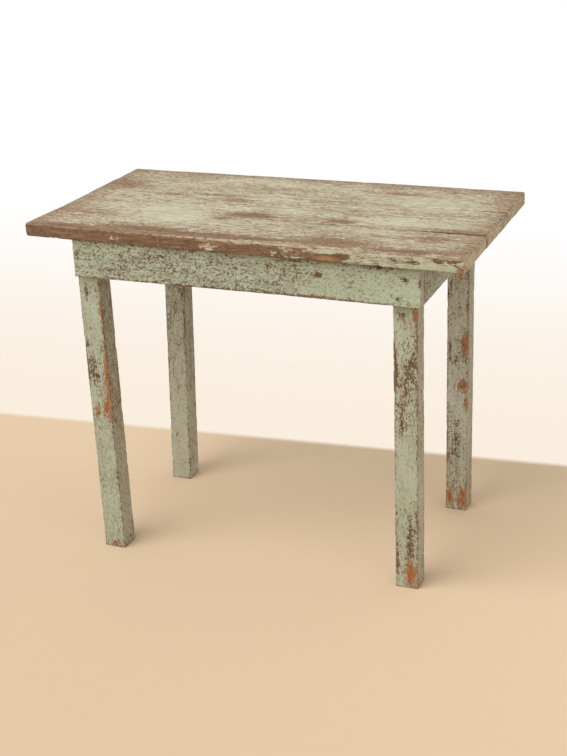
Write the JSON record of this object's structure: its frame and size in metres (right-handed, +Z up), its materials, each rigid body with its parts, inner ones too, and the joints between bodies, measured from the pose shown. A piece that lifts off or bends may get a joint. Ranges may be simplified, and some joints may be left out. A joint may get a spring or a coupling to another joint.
{
  "type": "work table",
  "caption": "Plank-topped wooden work table with square legs, nailed long aprons and tenoned end aprons, in worn and chipped sage green paint.",
  "frame": {"origin": "on the floor under the middle of the top's outline", "axes": "+X along the length of the top, +Y from the front apron to the back, +Z up"},
  "size_m": [0.9536, 0.5139, 0.76],
  "materials": {
    "top_paint": "sage green paint worn through to brown wood",
    "frame_paint": "sage green paint, chipped and crazed",
    "bare_wood": "aged unpainted softwood",
    "peg_wood": "hardwood pegs painted over",
    "nail_iron": "dull rusted iron"
  },
  "bodies": {
    "root": {"top_front_board": "top_paint", "top_middle_board": "top_paint", "top_rear_board": "top_paint", "front_apron": "frame_paint", "rear_apron": "frame_paint", "left_end_apron": "frame_paint", "right_end_apron": "frame_paint", "front_left_leg": "frame_paint", "front_right_leg": "frame_paint", "rear_left_leg": "frame_paint", "rear_right_leg": "frame_paint", "left_batten": "bare_wood", "right_batten": "bare_wood", "tenon_pegs": "peg_wood", "front_apron_nails": "nail_iron", "rear_apron_nails": "nail_iron", "top_front_nails": "nail_iron", "top_rear_nails": "nail_iron", "top_left_nails": "nail_iron", "top_right_nails": "nail_iron", "left_batten_nails": "nail_iron", "right_batten_nails": "nail_iron"}
  },
  "joints": []
}
